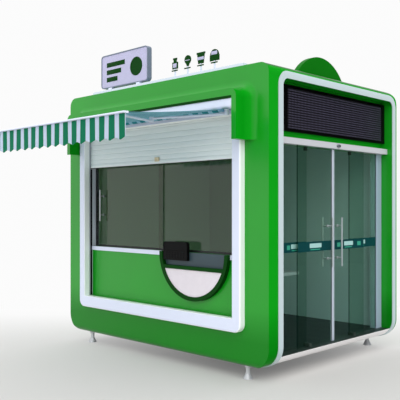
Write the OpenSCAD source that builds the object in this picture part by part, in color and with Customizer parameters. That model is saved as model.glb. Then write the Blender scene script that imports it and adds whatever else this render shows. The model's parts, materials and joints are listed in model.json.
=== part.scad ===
// Street kiosk: a rounded steel cabin with a serving front, an awning and a glazed sliding-door end.
// X runs along the front with the door end at +X, the front faces -Y, Z is up from the ground.

/* [Body] */
// Length of the body along the front
body_l = 3100; // [2900:10:3400]
// Depth of the body from front wall to back wall
body_w = 2360; // [2200:10:2700]
// Height of the body from its underside to the roof
body_h = 2800; // [2760:10:3000]
// Radius of the lengthwise top corners
top_r = 100; // [60:5:120]
// Radius where the end faces roll under the floor
bottom_r = 205; // [160:5:240]
// Radius of the lower front and back edges
toe_r = 70; // [40:2:90]
// Drop of the walls below the floor frame
skirt_drop = 20; // [10:1:30]
// Radius of the roof edge at the back
back_r = 170; // [80:5:220]
// Thickness of the front and back walls
wall_t = 100; // [80:5:120]
// Thickness of the roof
roof_t = 124; // [100:2:150]
// Height of the steel base under the floor
base_h = 60; // [40:5:80]
// Thickness of the floor deck
deck_t = 20; // [15:1:30]

/* [Feet] */
// Height of the floor frame above the ground
foot_h = 150; // [120:5:200]
// Distance of the feet from the ends of the body
foot_inset_x = 325; // [250:5:400]
// Distance of the feet from the front and back faces
foot_inset_y = 95; // [80:1:120]
// Diameter of the foot plate
foot_plate_d = 96; // [70:2:120]
// Diameter of the foot stem
foot_stem_d = 46; // [30:2:60]
// Height of the bell of the foot
foot_bell_h = 52; // [30:2:70]
// Thickness of the flat rim of the foot plate
foot_rim_h = 10; // [6:1:16]

/* [Door end] */
// Depth of the end walls behind the end planes
recess = 135; // [115:5:160]
// Thickness of the end walls
end_wall_t = 80; // [60:5:100]
// Width of the end frame at the front
front_leg = 208; // [180:2:240]
// Width of the end frame at the back
rear_leg = 104; // [90:2:140]
// Width of the white trim band
trim_w = 70; // [50:2:80]
// Thickness of the white trim band
trim_t = 8; // [4:1:12]
// Radius of the outer top corners of the trim band
trim_r = 145; // [100:5:160]
// Height of the end wall over the door
head_h = 596; // [560:2:640]
// Height of the door header
header_h = 60; // [52:2:80]
// Reach of the door header in front of the end wall
header_reach = 75; // [70:1:90]
// Width of the door jambs
jamb_w = 120; // [80:2:160]
// Width of one sliding leaf
leaf_w = 615; // [560:5:700]
// Distance of the fixed glass edge from the door centre
fixed_edge = 397; // [380:1:450]
// Thickness of the door glass
door_glass_t = 10; // [8:1:12]
// Depth of the leaf centre plane behind the end plane
leaf_depth = 99; // [97:1:102]
// Width of the edge strip on each leaf
strip_w = 16; // [10:1:24]
// Thickness of the edge strip on each leaf
strip_t = 22; // [16:1:26]
// Gap between the two leaves when closed
leaf_gap = 6; // [5:1:10]
// Gap between the leaf and the sill
leaf_lift = 8; // [5:1:12]

/* [Door handles] */
// Length of the pull bars
handle_l = 507; // [400:1:600]
// Height of the lower end of the pull bars
handle_z = 860; // [800:5:950]
// Diameter of the pull bars
handle_d = 18; // [14:1:32]
// Distance of the bar from the glass centre plane
handle_reach = 60; // [50:1:70]
// Spacing of the two stand-offs
handle_span = 334; // [250:1:380]
// Diameter of the stand-offs
standoff_d = 16; // [10:1:20]
// Distance of the handle from the meeting line
handle_side = 88; // [70:1:110]
// Diameter of the glass rosettes
rosette_d = 30; // [26:1:40]
// Thickness of the glass rosettes
rosette_t = 4; // [2:1:6]

/* [Display and header] */
// Distance of the display's lower edge below the ceiling
display_drop = 471; // [460:1:500]
// Height of the display
display_h = 445; // [380:5:450]
// Depth of the display housing
display_d = 40; // [30:2:80]
// Diameter of the header sensor
sensor_d = 44; // [30:2:50]
// Reach of the header sensor
sensor_reach = 14; // [8:1:24]

/* [Front opening] */
// Width of the front wall beside the opening
pier_w = 327; // [290:1:360]
// Height of the lower edge of the opening
opening_z = 430; // [380:5:480]
// Height of the front wall over the opening
lintel_h = 304; // [280:2:350]
// Width of the frame stiles
stile_w = 102; // [80:2:110]
// Height of the frame's bottom rail
rail_h = 130; // [100:2:150]
// Height of the frame's top rail
head_rail_h = 156; // [140:2:200]
// Reach of the frame in front of the wall
frame_proud = 70; // [40:2:80]
// Radius of the lower frame corners
frame_r = 80; // [40:2:95]

/* [Shutter] */
// Width of the shutter guides
guide_w = 60; // [50:2:80]
// Thickness of the guide's back web
guide_web = 20; // [10:1:24]
// Thickness of the guide's front flange
guide_flange = 10; // [6:1:14]
// Setback of the guide from the wall face
guide_setback = 5; // [0:1:10]
// Width of the guide slot
slot_w = 30; // [26:1:36]
// Thickness of the shutter curtain
curtain_t = 16; // [10:1:18]
// Length of shutter that hangs below the lintel
curtain_drop = 565; // [480:1:640]
// Height of the bottom bar
bottom_bar_h = 44; // [30:2:60]
// Thickness of the bottom bar
bottom_bar_t = 28; // [20:1:30]
// Gap between the curtain edge and the guide web
curtain_gap = 5; // [3:1:8]

/* [Window and counter] */
// Height of the window sill
sill_z = 1011; // [960:1:1060]
// Height of the white sill bar
sill_bar_h = 45; // [30:1:60]
// Reach of the sill bar in front of the apron
sill_bar_t = 12; // [6:1:20]
// Setback of the green apron panel from the wall face
apron_setback = 50; // [46:2:60]
// Width of the window frame bars
window_bar = 20; // [14:1:30]
// Depth of the window frame
window_frame_d = 30; // [26:1:40]
// Setback of the window frame from the wall face
window_setback = 95; // [90:1:98]
// Thickness of the window glass
pane_t = 8; // [6:1:10]
// Gap between the two panes
pane_gap = 4; // [3:1:6]
// Width over which the panes overlap
pane_overlap = 80; // [50:2:120]
// Offset of the overlap from the middle
overlap_x = -13; // [-60:1:60]
// Distance of the window handle from the clear edge
window_handle_side = 145; // [100:1:200]
// Height of the lower end of the window handle
window_handle_z = 1309; // [1250:1:1400]
// Length of the window handle
window_handle_l = 369; // [300:1:420]
// Diameter of the window handle
window_handle_d = 18; // [14:1:20]
// Distance of the window handle from the glass face
window_handle_reach = 50; // [40:1:52]
// Height of the worktop above the body underside
worktop_z = 830; // [780:5:900]
// Thickness of the worktop
worktop_t = 33; // [20:1:40]
// Depth of the worktop
worktop_d = 650; // [500:10:700]

/* [Serving hatch] */
// Distance of the hatch from the clear edge of the opening
hatch_side = 116; // [60:2:200]
// Outer radius of the half-round surround
hatch_r = 485; // [420:1:500]
// Width of the surround's rim
hatch_rim = 42; // [30:1:50]
// Height of the chord of the white apron
hatch_chord_z = 837; // [800:1:880]
// Height of the ledge on the chord
hatch_ledge_h = 36; // [24:1:50]
// Setback of the white apron behind the rim
hatch_apron_setback = 10; // [4:1:20]
// Thickness of the grey backing
hatch_back_t = 6; // [4:1:10]
// Width of the terminal
terminal_w = 352; // [280:2:360]
// Height of the terminal
terminal_h = 189; // [150:1:220]
// Depth of the terminal
terminal_d = 38; // [30:1:40]
// Height of the terminal's lower edge
terminal_z = 926; // [920:1:950]
// Distance of the terminal from the rim
terminal_side = 16; // [10:1:40]
// Radius of the terminal's upper corners
terminal_r = 60; // [30:1:80]

/* [Hood] */
// Overlap of the hood cheeks beyond the opening
hood_over = 106; // [104:1:130]
// Reach of the hood in front of the wall
hood_reach = 199; // [190:1:220]
// Thickness of the hood cheeks
hood_t = 55; // [40:1:60]
// Thickness of the hood's visor
lip_t = 66; // [50:1:71]
// Drop of the cheeks below the visor
cheek_drop = 401; // [340:1:440]
// Radius of the upper corners of the hood
hood_r = 76; // [72:2:100]
// Radius of the cove between hood and wall
cove_r = 100; // [60:2:120]

/* [Awning] */
// Reach of the awning in front of the wall
awning_reach = 1410; // [1200:10:1600]
// Distance of the awning cloth from the hood cheeks
cloth_side = 54; // [20:1:80]
// Height of the cassette
cassette_h = 111; // [90:1:120]
// Depth of the cassette
cassette_d = 80; // [60:2:84]
// Setback of the cassette behind the hood's edge
cassette_setback = 8; // [4:1:14]
// Radius of the cassette's lower front edge
cassette_r = 26; // [10:1:36]
// Drop of the front bar below the visor
bar_drop = 277; // [270:1:300]
// Height of the front bar
bar_h = 16; // [14:1:24]
// Depth of the front bar
bar_d = 50; // [36:1:60]
// Overhang of the front bar beyond the cloth
bar_over = 5; // [0:1:20]
// Thickness of the cloth solids
cloth_t = 6; // [4:1:8]
// Drop of the valance below the bar
valance_h = 209; // [150:1:230]
// Setback of the valance behind the bar's front
valance_setback = 20; // [10:1:30]
// Height of the cloth's front edge above the bar's underside
cloth_front_rise = 12; // [10:1:14]
// Diameter of the arm tubes
arm_d = 22; // [16:1:23]
// Distance of the shoulder from the cloth's edge
shoulder_side = 60; // [40:1:100]
// Height of the shoulder's boss
shoulder_h = 55; // [45:1:65]
// Distance of the elbow from the cloth's edge
elbow_side = 491; // [420:1:600]
// Distance of the elbow in front of the wall
elbow_y = 682; // [600:1:750]
// Drop of the elbow's parting face below the visor
elbow_drop = 222; // [220:1:232]
// Height of each elbow ring
elbow_ring_h = 24; // [24:1:28]
// Diameter of the arm bosses
boss_d = 44; // [36:1:50]
// Distance of the arm's front end from the cloth's edge
wrist_side = 95; // [60:1:140]

/* [Roof] */
// Distance of the sign rail's ends from the end planes
rail_inset = 365; // [300:5:450]
// Height of the sign rail
rail_top_h = 45; // [30:1:60]
// Depth of the sign rail
rail_d = 60; // [50:2:80]
// Distance of the sign rail behind the front face
rail_setback = 70; // [60:2:100]
// Distance of the sign's left edge from the rail's end
sign_inset = 145; // [80:5:200]
// Width of the sign
sign_w = 831; // [600:1:860]
// Height of the sign
sign_h = 387; // [300:1:420]
// Depth of the sign
sign_d = 62; // [40:2:100]
// Distance of the sign's face behind the rail's face
sign_setback = 14; // [12:1:20]
// Radius of the sign's corners
sign_r = 40; // [20:1:60]
// Gap between the rail and the sign
sign_lift = 23; // [15:1:40]
// Width of the sign's posts
sign_post_w = 60; // [40:2:80]
// Height of the pictograms
picto_h = 114; // [90:1:140]
// Thickness of the pictograms
picto_t = 10; // [6:1:11]
// Gap between the rail and the pictograms
picto_lift = 78; // [40:1:90]
// Distance of the last pictogram from the rail's end
picto_inset = 375; // [300:1:450]
// Spacing of the pictograms
picto_pitch = 189; // [160:1:220]
// Width of the pictogram stems
picto_stem_w = 16; // [10:1:24]
// Radius of the roof disc
disc_r = 510; // [450:2:560]
// Height of the disc above the roof
disc_rise = 250; // [180:2:300]
// Thickness of the roof disc
disc_t = 60; // [30:2:80]
// Distance of the disc from the end plane
disc_inset = 240; // [150:2:300]

/* [Hidden] */
$fn = 96;

// Overrun of every cut
over = 20;
// Gap between faces that follow each other on a curve, and between seated soft pieces
seat_gap = 0.3;
// Running gap between a moving door piece and its track
run_gap = 6;
// Wall of the header's track
track_wall = 12;
// Height of the hanger heads
hanger_h = 22;
// Length of each hanger
hanger_l = 70;
// Plate thickness of the glass clamps and guides
clamp_t = 6;
// Height of the glass clamps and guides
clamp_h = 40;
// Length of the clamps along the glass
clamp_l = 30;
// Rebate that lets the glass top into the header
leaf_entry = 4;

green = "#3C9F50";
deep_green = "#123F1C";
white = "#E9E8F0";
glass = "#6E8C88";
steel = "#B8BCC4";
black = "#15161A";

half_l = body_l / 2;
// Front wall face, which puts the origin under the middle of the whole outline
front_y = (awning_reach - body_w) / 2;
// Planes just outside the body's skin
skin_x = half_l + over;
skin_y = body_w + over;
skin_low = -skirt_drop - over;
skin_top = body_h + over;
floor_z = base_h + deck_t;
ceiling_z = body_h - roof_t;
end_x = half_l - recess;
end_in_x = end_x - end_wall_t;
door_y = body_w / 2;
door_half = door_y - wall_t - jamb_w;
door_top = ceiling_z - head_h;
display_z = ceiling_z - display_drop;
leaf_x = half_l - leaf_depth;
side_light_x = end_x - clamp_t - door_glass_t - seat_gap;
opening_w = body_l - 2 * pier_w;
opening_top = body_h - lintel_h;
clear_half = opening_w / 2 - guide_w;
hatch_x = clear_half - hatch_side - hatch_r;
curtain_z = opening_top - curtain_drop;
hood_w = opening_w + 2 * hood_over;
hood_in = hood_w / 2 - hood_t;
hood_split = opening_top + lip_t - hood_r;
cheek_z = opening_top - cheek_drop;
cassette_z = opening_top - cassette_h;
awning_w = 2 * (hood_in - cloth_side);
bar_z = opening_top - bar_drop;
elbow_x = awning_w / 2 - elbow_side;
elbow_z = opening_top - elbow_drop;
slot_y = guide_setback + guide_flange;
curtain_y = slot_y + (slot_w - curtain_t) / 2;
pane_front_y = window_setback + (window_frame_d - pane_gap) / 2 - pane_t;
pane_back_y = pane_front_y + pane_t + pane_gap;
cassette_y = -hood_reach + cassette_setback;
bar_back_y = -awning_reach + bar_d;
hatch_in = hatch_r - hatch_rim;
rail_l = body_l - 2 * rail_inset;
rail_z = body_h + rail_top_h;
sign_x = -rail_l / 2 + sign_inset;
portal_y0 = front_leg;
portal_y1 = body_w - rear_leg;

// Moves a shape from the body's own frame, where y is 0 on the front face and z is 0 under the floor frame
module placed() { translate([0, front_y, foot_h]) children(); }

// Block between two corners
module block(low, high) { translate(low) cube(high - low); }

// Both ends of the body carry the same piece
module both_ends() {
    children();
    mirror([1, 0, 0]) children();
}

// Both leaves mirror each other about the door centre
module far_side() { translate([0, 2 * door_y, 0]) mirror([0, 1, 0]) children(); }

// Outline of the body seen from the front, grown outwards
module front_outline(grow) {
    roll_z = bottom_r - skirt_drop;
    translate([-half_l - grow, roll_z]) square([body_l + 2 * grow, body_h - roll_z - top_r]);
    translate([-half_l + bottom_r, -skirt_drop - grow]) square([body_l - 2 * bottom_r, bottom_r + grow]);
    translate([-half_l + top_r, body_h - top_r]) square([body_l - 2 * top_r, top_r + grow]);
    for (side = [-1, 1]) {
        translate([side * (half_l - bottom_r), roll_z]) circle(bottom_r + grow);
        translate([side * (half_l - top_r), body_h - top_r]) circle(top_r + grow);
    }
}

// Outline of the body seen from the end
module end_outline() {
    toe_z = toe_r - skirt_drop;
    translate([0, toe_z]) square([body_w, body_h - toe_z - back_r]);
    translate([toe_r, -skirt_drop]) square([body_w - 2 * toe_r, toe_r]);
    translate([0, body_h - back_r]) square([body_w - back_r, back_r]);
    for (y = [toe_r, body_w - toe_r]) translate([y, toe_z]) circle(toe_r);
    translate([body_w - back_r, body_h - back_r]) circle(back_r);
}

// Shape drawn in x and z, extruded from y0 back to y1
module along_y(y0, y1) { translate([0, y1, 0]) rotate([90, 0, 0]) linear_extrude(y1 - y0) children(); }

// Shape drawn in y and z, extruded from x0 to x1
module along_x(x0, x1) { translate([x0, 0, 0]) rotate([90, 0, 90]) linear_extrude(x1 - x0) children(); }

// The whole rounded body
module body_solid() {
    intersection() {
        along_y(-over, body_w + over) front_outline(0);
        along_x(-half_l - over, half_l + over) end_outline();
    }
}

// Part of the rounded body between two corners, which lie outside it where the piece has the body's skin
module body_part(low, high) {
    intersection() {
        body_solid();
        block(low, high);
    }
}

// Rectangle with rounded upper corners, drawn from its lower left corner
module arch_plate(width, height, radius) {
    intersection() {
        square([width, height]);
        union() {
            square([width, height - radius]);
            translate([radius, 0]) square([width - 2 * radius, height]);
            for (side = [radius, width - radius]) translate([side, height - radius]) circle(radius);
        }
    }
}

// Round bar between two points
module rod(from, to, diameter) {
    run = to - from;
    length = norm(run);
    translate(from)
        rotate([0, acos(run[2] / length), atan2(run[1], run[0])])
            cylinder(h = length, d = diameter);
}

module base_tray() {
    color("dimgray") placed()
        block([-half_l + bottom_r, wall_t, 0], [half_l - bottom_r, body_w - wall_t, base_h]);
}

module floor_deck() {
    color("#2A2730") placed()
        block([-half_l + bottom_r, wall_t, base_h], [half_l - bottom_r, body_w - wall_t, floor_z]);
}

module roof() {
    color(green) placed() body_part([-skin_x, wall_t, ceiling_z], [skin_x, skin_y, skin_top]);
}

module back_wall() {
    color(green) placed() body_part([-end_x, body_w - wall_t, skin_low], [end_x, skin_y, ceiling_z]);
}

module left_end_wall() {
    color(green) placed() block([-end_x, wall_t, floor_z], [-end_in_x, body_w - wall_t, ceiling_z]);
}

module front_posts() {
    color(green) placed() both_ends()
        body_part([end_x, wall_t, skin_low], [skin_x, portal_y0, ceiling_z]);
}

module rear_posts() {
    color(green) placed() both_ends()
        body_part([end_x, portal_y1, skin_low], [skin_x, skin_y, ceiling_z]);
}

module front_wall_side() { body_part([opening_w / 2, -over, skin_low], [skin_x, wall_t, skin_top]); }

module front_wall_right() { color(green) placed() front_wall_side(); }

module front_wall_left() { color(green) placed() mirror([1, 0, 0]) front_wall_side(); }

module front_wall_top() {
    color(green) placed() block([-opening_w / 2, 0, opening_top], [opening_w / 2, wall_t, body_h]);
}

module front_wall_base() {
    color(green) placed()
        body_part([-opening_w / 2, -over, skin_low], [opening_w / 2, wall_t, opening_z]);
}

module end_sills() {
    color(white) placed() both_ends()
        body_part([half_l - bottom_r, portal_y0, skin_low], [skin_x, portal_y1, floor_z]);
}

// Trim band round the end opening, between two heights
module end_trim(low_z, high_z, y0, y1) {
    trim_y = portal_y0 - trim_w;
    width = portal_y1 - portal_y0 + 2 * trim_w;
    inner_r = trim_r - trim_w;
    low_over = skirt_drop + over;
    intersection() {
        difference() {
            along_y(trim_y, trim_y + width) front_outline(trim_t);
            along_y(trim_y - over, trim_y + width + over) front_outline(seat_gap);
        }
        along_x(half_l - bottom_r, half_l + over) difference() {
            translate([trim_y, -low_over]) arch_plate(width, ceiling_z + trim_w + low_over, trim_r);
            translate([portal_y0, -2 * low_over])
                arch_plate(portal_y1 - portal_y0, ceiling_z + 2 * low_over, inner_r);
        }
        block([half_l - bottom_r, y0, low_z], [half_l + over, y1, high_z]);
    }
}

module end_trim_front() {
    color(white) placed() both_ends() end_trim(-skirt_drop - over, ceiling_z - trim_r, 0, door_y);
}

module end_trim_rear() {
    color(white) placed() both_ends() end_trim(-skirt_drop - over, ceiling_z - trim_r, door_y, body_w);
}

module end_trim_head() {
    color(white) placed() both_ends() end_trim(ceiling_z - trim_r, body_h, 0, body_w);
}

module end_wall_head() {
    color(green) placed() block([end_in_x, wall_t, door_top], [end_x, body_w - wall_t, ceiling_z]);
}

module led_display() {
    color(black) placed()
        block([end_x, portal_y0, display_z], [end_x + display_d, portal_y1, display_z + display_h]);
}

// Track in the header that the hangers run in
module header_track() {
    head_half = strip_t / 2 + run_gap;
    slot_half = door_glass_t / 2 + run_gap;
    block([leaf_x - slot_half, portal_y0 - over, door_top - over],
        [leaf_x + slot_half, portal_y1 + over, door_top + track_wall + over]);
    block([leaf_x - head_half, portal_y0 - over, door_top + track_wall],
        [leaf_x + head_half, portal_y1 + over, door_top + header_h - track_wall]);
}

module door_header() {
    color(white) placed() difference() {
        block([end_x, portal_y0, door_top], [end_x + header_reach, portal_y1, door_top + header_h]);
        header_track();
    }
}

module door_sensor() {
    color(black) placed()
        translate([end_x + header_reach, (portal_y0 + portal_y1) / 2, door_top + header_h / 2])
            rotate([0, 90, 0]) cylinder(h = sensor_reach, d = sensor_d);
}

module door_jambs() {
    color(white) placed() {
        block([end_in_x, wall_t, floor_z], [end_x, door_y - door_half, door_top]);
        block([end_in_x, door_y + door_half, floor_z], [end_x, body_w - wall_t, door_top]);
    }
}

module side_light() {
    block([side_light_x, door_y - door_half, floor_z],
        [side_light_x + door_glass_t, door_y - fixed_edge, door_top]);
}

module side_lights() {
    color(glass, 0.4) placed() {
        side_light();
        far_side() side_light();
    }
}

// Clip round the free edge of a fixed glass, from its lower face
module glass_clamp(z) {
    edge_y = door_y - fixed_edge;
    difference() {
        block([side_light_x - clamp_t, edge_y - clamp_l, z],
            [side_light_x + door_glass_t + clamp_t, edge_y + clamp_t, z + clamp_h]);
        block([side_light_x, edge_y - clamp_l - over, z - over],
            [side_light_x + door_glass_t, edge_y + seat_gap, z + clamp_h + over]);
    }
}

// Floor guide that the lower edge of a leaf runs in
module floor_guide() {
    half_t = door_glass_t / 2 + run_gap;
    edge_y = door_y - fixed_edge;
    difference() {
        block([leaf_x - half_t - clamp_t, edge_y - clamp_l, floor_z],
            [leaf_x + half_t + clamp_t, edge_y, floor_z + clamp_h]);
        block([leaf_x - half_t, edge_y - clamp_l - over, floor_z + clamp_t / 2],
            [leaf_x + half_t, edge_y + over, floor_z + clamp_h + over]);
    }
}

module near_fittings() {
    glass_clamp(floor_z);
    glass_clamp(door_top - clamp_h);
    floor_guide();
}

module glass_fittings() {
    color(black) placed() {
        near_fittings();
        far_side() near_fittings();
    }
}

// Holes and stand-offs of a door handle, along x through the glass
module handle_crossings(diameter, length) {
    middle_z = handle_z + handle_l / 2;
    for (step = [-1, 1])
        translate([leaf_x - length / 2, door_y - handle_side, middle_z + step * handle_span / 2])
            rotate([0, 90, 0]) cylinder(h = length, d = diameter);
}

module door_leaf() {
    glass_end = door_y - leaf_gap / 2 - strip_w;
    difference() {
        block([leaf_x - door_glass_t / 2, door_y - leaf_w, floor_z + leaf_lift],
            [leaf_x + door_glass_t / 2, glass_end, door_top + leaf_entry]);
        handle_crossings(standoff_d + 2 * seat_gap, door_glass_t + over);
    }
}

module door_leaf_near() { color(glass, 0.4) placed() door_leaf(); }

module door_leaf_far() { color(glass, 0.4) placed() far_side() door_leaf(); }

// Hanger that carries a leaf in the header's track
module leaf_hanger(y) {
    stem_z = door_top + leaf_entry;
    head_z = door_top + track_wall + seat_gap;
    block([leaf_x - door_glass_t / 2, y, stem_z], [leaf_x + door_glass_t / 2, y + hanger_l, head_z]);
    block([leaf_x - strip_t / 2, y, head_z], [leaf_x + strip_t / 2, y + hanger_l, head_z + hanger_h]);
}

module leaf_edge() {
    strip_end = door_y - leaf_gap / 2;
    block([leaf_x - strip_t / 2, strip_end - strip_w, floor_z + leaf_lift],
        [leaf_x + strip_t / 2, strip_end, door_top - leaf_lift]);
    leaf_hanger(door_y - leaf_w + hanger_l);
    leaf_hanger(strip_end - strip_w - 2 * hanger_l);
}

module leaf_edge_near() { color(white) placed() leaf_edge(); }

module leaf_edge_far() { color(white) placed() far_side() leaf_edge(); }

module door_handle() {
    handle_crossings(standoff_d, 2 * handle_reach);
    difference() {
        handle_crossings(rosette_d, door_glass_t + 2 * rosette_t);
        translate([leaf_x - door_glass_t / 2, door_y - leaf_w, handle_z])
            cube([door_glass_t, leaf_w, handle_l]);
    }
    for (side = [-1, 1])
        translate([leaf_x + side * handle_reach, door_y - handle_side, handle_z])
            cylinder(h = handle_l, d = handle_d);
}

module door_handle_near() { color(steel) placed() door_handle(); }

module door_handle_far() { color(steel) placed() far_side() door_handle(); }

module frame_stiles() {
    color(white) placed() both_ends()
        block([clear_half, -frame_proud, opening_z], [clear_half + stile_w, 0, opening_top - head_rail_h]);
}

module frame_rails() {
    half = clear_half + stile_w;
    color(white) placed() {
        along_y(-frame_proud, 0)
            translate([-half, opening_z]) mirror([0, 1]) arch_plate(2 * half, rail_h, frame_r);
        block([-half, -frame_proud, opening_top - head_rail_h], [half, 0, opening_top]);
    }
}

module shutter_guide() {
    difference() {
        block([clear_half, guide_setback, opening_z], [opening_w / 2, wall_t, opening_top]);
        block([clear_half - over, slot_y, opening_z - over],
            [opening_w / 2 - guide_web, slot_y + slot_w, opening_top + over]);
    }
}

module shutter_guides() { color("#8E9098") placed() both_ends() shutter_guide(); }

module shutter_curtain() {
    curtain_half = opening_w / 2 - guide_web - curtain_gap;
    bar_half = clear_half - curtain_gap;
    bar_top = curtain_z + bottom_bar_h;
    bar_y = curtain_y + (curtain_t - bottom_bar_t) / 2;
    color("#D9DADF") placed() {
        block([-curtain_half, curtain_y, bar_top], [curtain_half, curtain_y + curtain_t, opening_top]);
        block([-bar_half, bar_y, curtain_z], [bar_half, bar_y + bottom_bar_t, bar_top]);
    }
}

module apron_panel() {
    color(green) placed() block([-clear_half, apron_setback, opening_z], [clear_half, wall_t, sill_z]);
}

module window_sill() {
    low_z = sill_z - sill_bar_h;
    front = apron_setback - sill_bar_t;
    color("white") placed() {
        block([-clear_half, front, low_z], [hatch_x - hatch_r, apron_setback, sill_z]);
        block([hatch_x + hatch_r, front, low_z], [clear_half, apron_setback, sill_z]);
    }
}

// Half disc below the sill line, drawn in x and z
module half_disc(radius) {
    intersection() {
        translate([hatch_x, sill_z]) circle(radius);
        translate([hatch_x - radius, sill_z - radius]) square([2 * radius, radius]);
    }
}

// Level band across the hatch, drawn in x and z
module hatch_band(low_z, high_z) {
    translate([hatch_x - hatch_r, low_z]) square([2 * hatch_r, high_z - low_z]);
}

module hatch_surround() {
    ledge_z = hatch_chord_z + hatch_ledge_h;
    color(deep_green) placed() along_y(0, apron_setback) {
        difference() {
            half_disc(hatch_r);
            translate([hatch_x, sill_z]) circle(hatch_in);
        }
        intersection() {
            half_disc(hatch_r - hatch_rim / 2);
            hatch_band(hatch_chord_z, ledge_z);
        }
    }
}

module hatch_apron() {
    color("white") placed() along_y(hatch_apron_setback, apron_setback) intersection() {
        half_disc(hatch_in - seat_gap);
        hatch_band(sill_z - hatch_r, hatch_chord_z);
    }
}

module hatch_back() {
    color("#66727A") placed() along_y(apron_setback - hatch_back_t, apron_setback) intersection() {
        half_disc(hatch_in - seat_gap);
        hatch_band(hatch_chord_z + hatch_ledge_h, sill_z);
    }
}

module card_terminal() {
    back = apron_setback - hatch_back_t;
    color(black) placed() along_y(back - terminal_d, back)
        translate([hatch_x - hatch_in + terminal_side, terminal_z])
            arch_plate(terminal_w, terminal_h, terminal_r);
}

module window_frame() {
    color(black) placed() difference() {
        block([-clear_half, window_setback, sill_z],
            [clear_half, window_setback + window_frame_d, opening_top]);
        block([-clear_half + window_bar, window_setback - over, sill_z + window_bar],
            [clear_half - window_bar, window_setback + window_frame_d + over, opening_top - window_bar]);
    }
}

// Stand-offs of the window handle, along y through the left pane
module window_crossings(diameter, y0, y1) {
    for (share = [0.2, 0.8])
        translate([-clear_half + window_handle_side, y1, window_handle_z + share * window_handle_l])
            rotate([90, 0, 0]) cylinder(h = y1 - y0, d = diameter);
}

module window_pane_left() {
    color(glass, 0.4) placed() difference() {
        block([-clear_half + window_bar, pane_front_y, sill_z + window_bar],
            [overlap_x + pane_overlap / 2, pane_front_y + pane_t, opening_top - window_bar]);
        window_crossings(standoff_d + 2 * seat_gap, pane_front_y - over, pane_front_y + pane_t + over);
    }
}

module window_pane_right() {
    color(glass, 0.4) placed()
        block([overlap_x - pane_overlap / 2, pane_back_y, sill_z + window_bar],
            [clear_half - window_bar, pane_back_y + pane_t, opening_top - window_bar]);
}

module window_handle() {
    front = pane_front_y - window_handle_reach;
    back = pane_front_y + pane_t + window_handle_reach;
    color(steel) placed() {
        window_crossings(standoff_d, front, back);
        difference() {
            window_crossings(rosette_d, pane_front_y - rosette_t, pane_front_y + pane_t + rosette_t);
            translate([-clear_half, pane_front_y, window_handle_z])
                cube([clear_half, pane_t, window_handle_l]);
        }
        for (y = [front, back])
            translate([-clear_half + window_handle_side, y, window_handle_z])
                cylinder(h = window_handle_l, d = window_handle_d);
    }
}

module worktop() {
    color("#C9C4CC") placed()
        block([-end_in_x, wall_t, worktop_z - worktop_t], [end_in_x, wall_t + worktop_d, worktop_z]);
}

// Cove section with its corner at the origin, drawn towards +x and -y
module cove_section() {
    difference() {
        translate([0, -cove_r]) square([cove_r, cove_r]);
        translate([cove_r, -cove_r]) circle(cove_r);
    }
}

// Rounded upper corner of the hood with its cove, turned about the corner's centre
module hood_corner() {
    translate([hood_w / 2 - hood_r, 0, hood_split])
        rotate([90, 0, 0])
            rotate_extrude(angle = 90) {
                square([hood_r, hood_reach]);
                translate([hood_r, 0]) mirror([0, 1]) cove_section();
            }
}

module hood_visor() {
    top_z = opening_top + lip_t;
    flat_half = hood_w / 2 - hood_r;
    color(green) placed() difference() {
        union() {
            block([-flat_half, -hood_reach, hood_split], [flat_half, 0, top_z]);
            along_x(-flat_half, flat_half) translate([0, top_z]) rotate(180) cove_section();
            both_ends() hood_corner();
        }
        block([-hood_in, -hood_reach - over, hood_split - over], [hood_in, over, opening_top]);
    }
}

module hood_cheeks() {
    color(green) placed() both_ends() {
        block([hood_in, -hood_reach, cheek_z], [hood_w / 2, 0, hood_split]);
        translate([hood_w / 2, 0, cheek_z]) linear_extrude(hood_split - cheek_z) cove_section();
    }
}

module awning_cassette() {
    width = 2 * hood_in - 2 * seat_gap;
    color(white) placed() along_x(-width / 2, width / 2)
        translate([cassette_y, cassette_z]) {
            translate([cassette_r, 0]) square([cassette_d - cassette_r, cassette_h]);
            translate([0, cassette_r]) square([cassette_d, cassette_h - cassette_r]);
            translate([cassette_r, cassette_r]) circle(cassette_r);
        }
}

module awning_canopy() {
    root_y = cassette_y + cassette_r;
    root_z = cassette_z - seat_gap;
    end_y = bar_back_y + seat_gap;
    end_z = bar_z + cloth_front_rise;
    color("#3F8F86") placed() along_x(-awning_w / 2, awning_w / 2)
        polygon([[root_y, root_z], [root_y, root_z - cloth_t], [end_y, end_z - cloth_t], [end_y, end_z]]);
}

module awning_front_bar() {
    width = awning_w + 2 * bar_over;
    round_r = bar_h / 2;
    color(white) placed() along_x(-width / 2, width / 2) {
        translate([-awning_reach + round_r, bar_z]) square([bar_d - round_r, bar_h]);
        translate([-awning_reach + round_r, bar_z + round_r]) circle(round_r);
    }
}

module awning_valance() {
    top_z = bar_z - seat_gap;
    front = -awning_reach + valance_setback;
    color("#1A7A5A") placed()
        block([-awning_w / 2, front, top_z - valance_h], [awning_w / 2, front + cloth_t, top_z]);
}

module upper_arm() {
    shoulder_x = awning_w / 2 - shoulder_side;
    shoulder_y = cassette_y + cassette_d - boss_d / 2;
    shoulder_z = cassette_z - shoulder_h;
    ring_z = elbow_z + elbow_ring_h / 2;
    translate([shoulder_x, shoulder_y, shoulder_z]) cylinder(h = shoulder_h, d = boss_d);
    translate([elbow_x, -elbow_y, elbow_z]) cylinder(h = elbow_ring_h, d = boss_d);
    rod([shoulder_x, shoulder_y, shoulder_z + arm_d / 2], [elbow_x, -elbow_y, ring_z], arm_d);
}

module awning_upper_arms() { color(white) placed() both_ends() upper_arm(); }

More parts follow.
